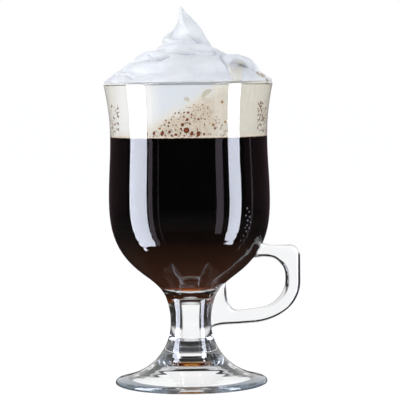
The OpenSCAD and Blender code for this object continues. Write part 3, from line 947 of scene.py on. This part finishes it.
for _ in range(TINY_IN_CLOUD):
    rise = draw.random() ** 1.4
    z = CLOUD_BASE + (CLOUD_TOP - CLOUD_BASE) * rise
    across = draw.uniform(-19 + 17 * rise, 22 - 14 * rise)
    size = draw.uniform(0.24, 0.66) * (1.15 - 0.4 * rise)
    finish = BUBBLE_BROWN if draw.random() < 0.8 else BUBBLE_SPECK
    bubbles.append(lay_bubble(small_bubble, finish, turned_to(across * MM, z * MM), z * MM, size * MM,
                              size * draw.uniform(0.9, 1.15) * MM, draw.uniform(-30, 30), 0.08))
for _ in range(TINY_AROUND):
    z = CLOUD_BASE + AROUND_HIGH * draw.random() ** 1.8
    size = draw.uniform(0.25, 0.9) * (1.1 - 0.06 * (z - CLOUD_BASE))
    finish = BUBBLE_BROWN if draw.random() < 0.5 else BUBBLE_SPECK
    bubbles.append(lay_bubble(small_bubble, finish, draw.uniform(AROUND_FROM, AROUND_TO), z * MM, size * MM,
                              size * draw.uniform(0.8, 1.5) * MM, draw.uniform(-30, 30), 0.09))
for i in range(TINY_SPECKS):
    side = 1 if i % 3 else -1
    z = draw.uniform(*SPECK_HEIGHTS)
    across = side * draw.uniform(*SPECK_ACROSS)
    size = draw.uniform(0.55, 1.35)
    bubbles.append(lay_bubble(small_bubble, BUBBLE_SPECK, turned_to(across * MM, z * MM), z * MM, size * MM,
                              size * draw.uniform(0.3, 1.2) * MM, draw.uniform(-60, 60), 0.07))
for i in range(TINY_EDGE):
    direction = math.tau * (i + draw.random()) / TINY_EDGE
    size = draw.uniform(0.28, 0.62)
    z = froth_low / MM + draw.uniform(-0.12, 0.25)
    finish = BUBBLE_SPECK if draw.random() < 0.12 else BUBBLE_PALE
    bubbles.append(lay_bubble(small_bubble, finish, direction, z * MM, size * MM, size * 0.8 * MM, 0, 0.10))
print(len(bubbles), "bubbles in all")

# %% Join the bubbles
bpy.ops.object.select_all(action="DESELECT")
for bubble in bubbles:
    bubble.select_set(True)
bpy.context.view_layer.objects.active = bubbles[0]
bpy.ops.object.join()
froth_bubbles = bpy.context.object
froth_bubbles.name = "froth_bubbles"
for shape in (large_bubble, small_bubble):
    bpy.data.objects.remove(shape)
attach(froth_bubbles, "root")
print("froth bubbles", len(froth_bubbles.data.polygons), "faces")

# %% [markdown]
# Whipped cream is a matt white that lets a little light into it. Its creases get a painted bluish shade,
# the hollow of the curl is warmer, and coffee has soaked into the edge by the right of the lip.

# %% Cream finish
CREAM_LIT, CREAM_DULL = (0.88, 0.885, 0.89, 1), (0.80, 0.81, 0.835, 1)
CREAM_HOLLOW = (0.93, 0.88, 0.77, 1)
COFFEE_SOAKED = (0.42, 0.30, 0.16, 1)
CREASE_PAINTED_SHADE = (0.50, 0.52, 0.62, 1)
# (across, height, half length, half width, lean) of the warm hollow and of the coffee stain
HOLLOW_PATCH = (0.0222, 0.1500, 0.0056, 0.0036, 80)
SOAKED_PATCH = (0.0352, 0.1475, 0.0042, 0.0012, -38)
whipped_cream, tree, out = new_material("whipped_cream")
cream = tree.nodes.new("ShaderNodeBsdfPrincipled")
place = tree.nodes.new("ShaderNodeTexCoord").outputs["Object"]
apart = tree.nodes.new("ShaderNodeSeparateXYZ")
tree.links.new(place, apart.inputs[0])
x, y, z = apart.outputs
soft = fade(tree, noise_at(tree, place, 140, 3), 0.3, 0.75)
colour = mix_colours(tree, soft, CREAM_LIT, CREAM_DULL)
front = fade(tree, y, -0.010, -0.014)
hollow = sum_up(tree, "MULTIPLY", patch(tree, x, z, *HOLLOW_PATCH), front)
colour = mix_colours(tree, sum_up(tree, "MULTIPLY", hollow, 0.8), colour, CREAM_HOLLOW)
drip = sum_up(tree, "MULTIPLY", patch(tree, x, z, *SOAKED_PATCH), fade(tree, y, 0.004, -0.004))
drip = sum_up(tree, "MULTIPLY", drip, fade(tree, noise_at(tree, place, 420, 3), 0.38, 0.56))
colour = mix_colours(tree, sum_up(tree, "MULTIPLY", drip, 0.85), colour, COFFEE_SOAKED)
shape = tree.nodes.new("ShaderNodeNewGeometry")
# Where the skin is hollow, as in creases, it is darkened to a bluish grey: painted shade
crease_shade = fade(tree, shape.outputs["Pointiness"], 0.485, 0.44)
colour = mix_colours(tree, sum_up(tree, "MULTIPLY", crease_shade, 0.55), colour, CREASE_PAINTED_SHADE)
tree.links.new(colour, cream.inputs["Base Color"])
cream.inputs["Roughness"].default_value = 0.5
cream.inputs["Subsurface Weight"].default_value = 0.25
cream.inputs["Subsurface Radius"].default_value = (1.0, 0.9, 0.8)
cream.inputs["Subsurface Scale"].default_value = 0.0015
bump = tree.nodes.new("ShaderNodeBump")
bump.inputs["Strength"].default_value = 0.25
bump.inputs["Distance"].default_value = 0.0004
tree.links.new(noise_at(tree, place, 900, 3), bump.inputs["Height"])
tree.links.new(bump.outputs[0], cream.inputs["Normal"])
tree.links.new(cream.outputs[0], out.inputs[0])
print("finish", whipped_cream.name)

# %% [markdown]
# Whipped cream is dropped and turned with a spoon: thick folds lie on each other and end in a
# drawn-out peak. Each fold is laid as a curve with its own thickness, on a turned mound. All are
# then fused into one skin, smoothed where they meet, and roughened a little as cream is.

# %% Mound
# (radius, height) in millimetres: a plug inside the lip, and the mound's side up to its top
MOUND = [
    (36.4, 142.4), (36.4, 144.4), (39.7, 145.0), (39.6, 145.8), (37.8, 147.4), (35.2, 149.4),
    (31.6, 151.6), (28.4, 153.8), (24.6, 155.6), (19.5, 157.0), (13.0, 158.4), (9.0, 161.0), (0.0, 164.0)]
MOUND_STEPS = 96
mound_side = smoothed([(r * MM, z * MM) for r, z in MOUND], 4)
mound = spun("whipped_cream_heap", [(0.0, MOUND[0][1] * MM)] + mound_side, MOUND_STEPS)

# %% Folds
# Each fold is a list of (x, y, z, half thickness) in millimetres, from one end to the other
FOLDS = {
    "peak": [
        (0.0, 0, 158, 12.0), (0.3, 0, 162.5, 10.4), (0.5, 0, 166.5, 8.4), (0.0, 0, 170, 6.2),
        (-0.9, 0, 173.2, 4.1), (-1.8, 0, 176.4, 2.4), (-2.5, 0, 179.0, 1.15), (-3.0, 0, 181.0, 0.35)],
    "peak_ridge": [
        (-2.4, -1.2, 177.5, 0.9), (-1.5, -3.2, 174.2, 1.3), (0.6, -5.2, 171.0, 1.9),
        (3.2, -6.8, 168.0, 2.3), (6.2, -7.2, 165.2, 2.5), (8.4, -4.8, 162.4, 2.4),
        (10.2, 0.5, 160.0, 2.6), (9.2, 7.0, 159.4, 3.2)],
    "peak_back": [
        (-2.2, 0.8, 177.5, 0.8), (-3.4, 2.6, 172.5, 1.6), (-5.4, 3.6, 168.5, 2.4),
        (-8.2, 1.6, 165.4, 2.8), (-9.6, -3.0, 163.4, 2.7), (-6.5, -8.2, 163.2, 2.4),
        (-1.0, -9.8, 163.4, 1.8), (3.4, -9.9, 163.2, 1.1)],
    "collar": [
        (12.2, -3.0, 159.1, 1.4), (11.2, -9.4, 159.2, 3.0), (3.4, -13.4, 159.0, 4.0),
        (-6.0, -12.8, 159.4, 4.2), (-10.9, -7.0, 158.9, 3.6), (-12.3, 1.0, 158.4, 3.7),
        (-9.0, 9.8, 158.6, 4.2), (1.0, 13.6, 158.0, 4.4), (10.9, 10.0, 157.3, 4.3),
        (14.7, 1.9, 156.0, 3.9), (15.4, -7.0, 155.6, 3.9)],
    "tongue": [
        (-2.0, -21.0, 155.2, 2.0), (-8.0, -21.2, 155.8, 3.0), (-14.0, -19.0, 156.2, 3.3),
        (-19.0, -13.6, 155.6, 3.6), (-21.3, -6.0, 154.4, 4.0), (-21.8, 3.0, 153.8, 4.1),
        (-17.0, 13.0, 153.6, 4.6), (-7.0, 20.0, 153.2, 4.8)],
    "billow_front": [
        (-27.0, -12.0, 149.6, 4.4), (-21.0, -22.0, 149.6, 5.4), (-10.0, -28.4, 149.8, 6.0),
        (2.0, -29.8, 149.8, 6.2), (11.0, -27.6, 149.8, 5.8), (16.6, -23.4, 150.8, 4.6),
        (19.4, -19.4, 153.2, 3.4), (21.6, -16.0, 155.2, 2.6)],
    "billow_left": [
        (-31.0, -4.0, 147.8, 3.6), (-28.0, 8.0, 149.4, 5.0), (-20.6, 20.0, 149.8, 6.0),
        (-8.0, 28.2, 149.8, 6.2), (6.0, 28.6, 149.8, 6.2), (18.0, 22.4, 150.2, 6.2),
        (26.0, 12.0, 151.2, 5.6), (28.4, 2.0, 152.0, 4.6), (27.0, -6.6, 152.8, 3.6)],
    "curl": [
        (16.4, -27.8, 147.0, 2.2), (16.6, -27.0, 150.6, 2.2), (18.6, -24.8, 154.0, 2.1),
        (22.6, -20.8, 155.6, 2.1), (26.6, -16.6, 155.0, 2.2), (29.6, -14.0, 152.6, 2.4),
        (31.4, -13.0, 149.6, 2.5), (32.4, -12.4, 146.6, 2.4)],
    "left_lobe": [
        (-35.8, -10.6, 146.2, 1.6), (-33.4, -14.6, 147.2, 2.2), (-29.4, -19.2, 147.6, 2.4),
        (-25.4, -23.6, 147.0, 2.0), (-22.4, -26.8, 146.0, 1.2)],
    "right_drip": [
        (33.2, -11.8, 147.8, 1.2), (35.2, -11.0, 146.9, 1.4), (36.8, -9.8, 145.8, 1.0)],
}
RING_OF_TUBE = 12


def laid_fold(name, stations):
    """A fold of cream as a round tube of changing thickness."""
    bpy.ops.object.select_all(action="DESELECT")
    bpy.ops.curve.primitive_nurbs_path_add()
    fold = bpy.context.object
    fold.name = name
    fold.data.splines.clear()
    line = fold.data.splines.new("NURBS")
    line.points.add(len(stations) - 1)
    for point, (x, y, z, half) in zip(line.points, stations):
        point.co = (x * MM, y * MM, z * MM, 1)
        point.radius = half
    line.order_u = 3
    line.use_endpoint_u = True
    line.resolution_u = 10
    fold.data.bevel_depth = MM
    fold.data.bevel_resolution = RING_OF_TUBE // 2
    fold.data.use_fill_caps = True
    bpy.ops.object.convert(target="MESH")
    return fold


folds = [laid_fold(name, stations) for name, stations in FOLDS.items()]
print(len(folds), "folds")

# %% Fuse the folds
CREAM_GRAIN = 0.00055
SLUMP_SIZE, SLUMP_HIGH = 0.016, 0.0022
RIPPLE_SIZE, RIPPLE_HIGH = 0.0045, 0.0006
bpy.ops.object.select_all(action="DESELECT")
for fold in folds:
    fold.select_set(True)
mound.select_set(True)
bpy.context.view_layer.objects.active = mound
bpy.ops.object.join()
heap = bpy.context.object
heap.data.remesh_voxel_size = CREAM_GRAIN
bpy.ops.object.voxel_remesh()
apply_modifier(heap, "SMOOTH", factor=0.6, iterations=5)


def clouds(name, size):
    """Soft random heights for a rough skin."""
    texture = bpy.data.textures.new(name, "CLOUDS")
    texture.noise_scale = size
    texture.noise_depth = 2
    return texture


for name, size, high in (("slump", SLUMP_SIZE, SLUMP_HIGH), ("ripple", RIPPLE_SIZE, RIPPLE_HIGH)):
    apply_modifier(heap, "DISPLACE", texture=clouds(name, size), strength=high, mid_level=0.5,
                   texture_coords="GLOBAL")
print("fused cream", len(heap.data.polygons), "faces")

# %% [markdown]
# Finer creases and ridges run over the front of the cream. Each is a line in the front view. The
# skin is pushed in along it, or out for a ridge, and the push fades to nothing at the line's sides.

# %% Creases and ridges of the front
# The marks reach their full depth FRONT_FADE millimetres before the middle
FRONT_FADE = 3
# (half width, depth, [(x, z) ...]) in millimetres, and a ridge has a negative depth
MARKS = [
    (1.0, 0.50, [(-2.1, 177.4), (-0.9, 174.5), (0.8, 170.8)]),
    (1.3, -0.50, [(-3.5, 173.8), (-0.6, 169.8), (3.7, 166.0)]),
    (1.0, 0.50, [(-11.2, 164.0), (-7.5, 163.7), (-4.0, 164.4)]),
    (1.0, 0.50, [(-14.5, 160.4), (-8.0, 160.6), (-1.6, 161.2)]),
    (1.2, 0.90, [(-18.6, 158.2), (-16.2, 156.2), (-13.4, 155.4), (-8.8, 157.2)]),
    (1.6, 0.50, [(-8.8, 157.2), (-2.0, 157.6), (3.2, 158.4)]),
    (1.0, 0.60, [(1.0, 160.2), (6.0, 159.0), (12.8, 159.0)]),
    (1.3, 1.10, [(15.6, 156.4), (17.4, 153.8), (20.0, 149.6)]),
    (4.2, 1.90, [(21.6, 152.6), (22.4, 150.4), (23.2, 147.6)]),
    (2.0, -0.90, [(14.2, 157.6), (16.8, 157.4), (18.6, 157.0)]),
    (1.5, -1.10, [(17.9, 154.6), (20.0, 156.4), (23.2, 156.6), (26.4, 154.6), (28.2, 151.0), (29.0, 147.4)]),
    (1.2, 0.80, [(-37.0, 147.3), (-34.2, 148.7), (-29.4, 149.2), (-26.0, 147.4)]),
]


def distance_to_line(across, up, line):
    """How far places in the front view are from a line of points."""
    near = np.full(across.shape, 1e9)
    for (x0, z0), (x1, z1) in zip(line, line[1:]):
        long = (x1 - x0) ** 2 + (z1 - z0) ** 2
        share = np.clip(((across - x0) * (x1 - x0) + (up - z0) * (z1 - z0)) / long, 0, 1)
        near = np.minimum(near, np.hypot(across - x0 - share * (x1 - x0), up - z0 - share * (z1 - z0)))
    return near


count = len(heap.data.vertices)
places = np.empty(count * 3)
outward = np.empty(count * 3)
heap.data.vertices.foreach_get("co", places)
heap.data.vertices.foreach_get("normal", outward)
places = places.reshape(-1, 3)
outward = outward.reshape(-1, 3)
push = np.zeros(count)
for half_width, depth_mm, line in MARKS:
    share = np.clip(1 - distance_to_line(places[:, 0] / MM, places[:, 2] / MM, line) / half_width, 0, 1)
    push += depth_mm * MM * share * share * (3 - 2 * share)
push *= np.clip(-places[:, 1] / (FRONT_FADE * MM), 0, 1)
heap.data.vertices.foreach_set("co", (places - outward * push[:, None]).ravel())
heap.data.update()
print("marks on the cream", len(MARKS))

# %% [markdown]
# The heap is cut level, so that it sits on the cream in the glass, and any crumb that the cut
# leaves beside it is deleted.

# %% Seat the heap on the cream in the glass
CUTTER = 0.2
bpy.ops.mesh.primitive_cube_add(size=CUTTER, location=(0, 0, layer_high - CUTTER / 2))
below_layer = bpy.context.active_object
apply_modifier(heap, "BOOLEAN", operation="DIFFERENCE", object=below_layer, solver="EXACT")
bpy.data.objects.remove(below_layer)
bpy.ops.object.mode_set(mode="EDIT")
bpy.ops.mesh.select_all(action="DESELECT")
bpy.ops.object.mode_set(mode="OBJECT")
max(heap.data.vertices, key=lambda v: v.co.z).select = True
bpy.ops.object.mode_set(mode="EDIT")
bpy.ops.mesh.select_linked()
bpy.ops.mesh.select_all(action="INVERT")
bpy.ops.mesh.delete(type="VERT")
bpy.ops.mesh.select_all(action="SELECT")
bpy.ops.mesh.normals_make_consistent(inside=False)
bpy.ops.object.mode_set(mode="OBJECT")
bpy.ops.object.shade_smooth_by_angle(angle=math.radians(60))
heap.data.materials.clear()
heap.data.materials.append(whipped_cream)
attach(heap, "root")
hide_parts("cream_blanket", "cream_billow", "cream_swirl", "cream_peak")
print("cream heap", len(heap.data.polygons), "faces")

# %% End
import json
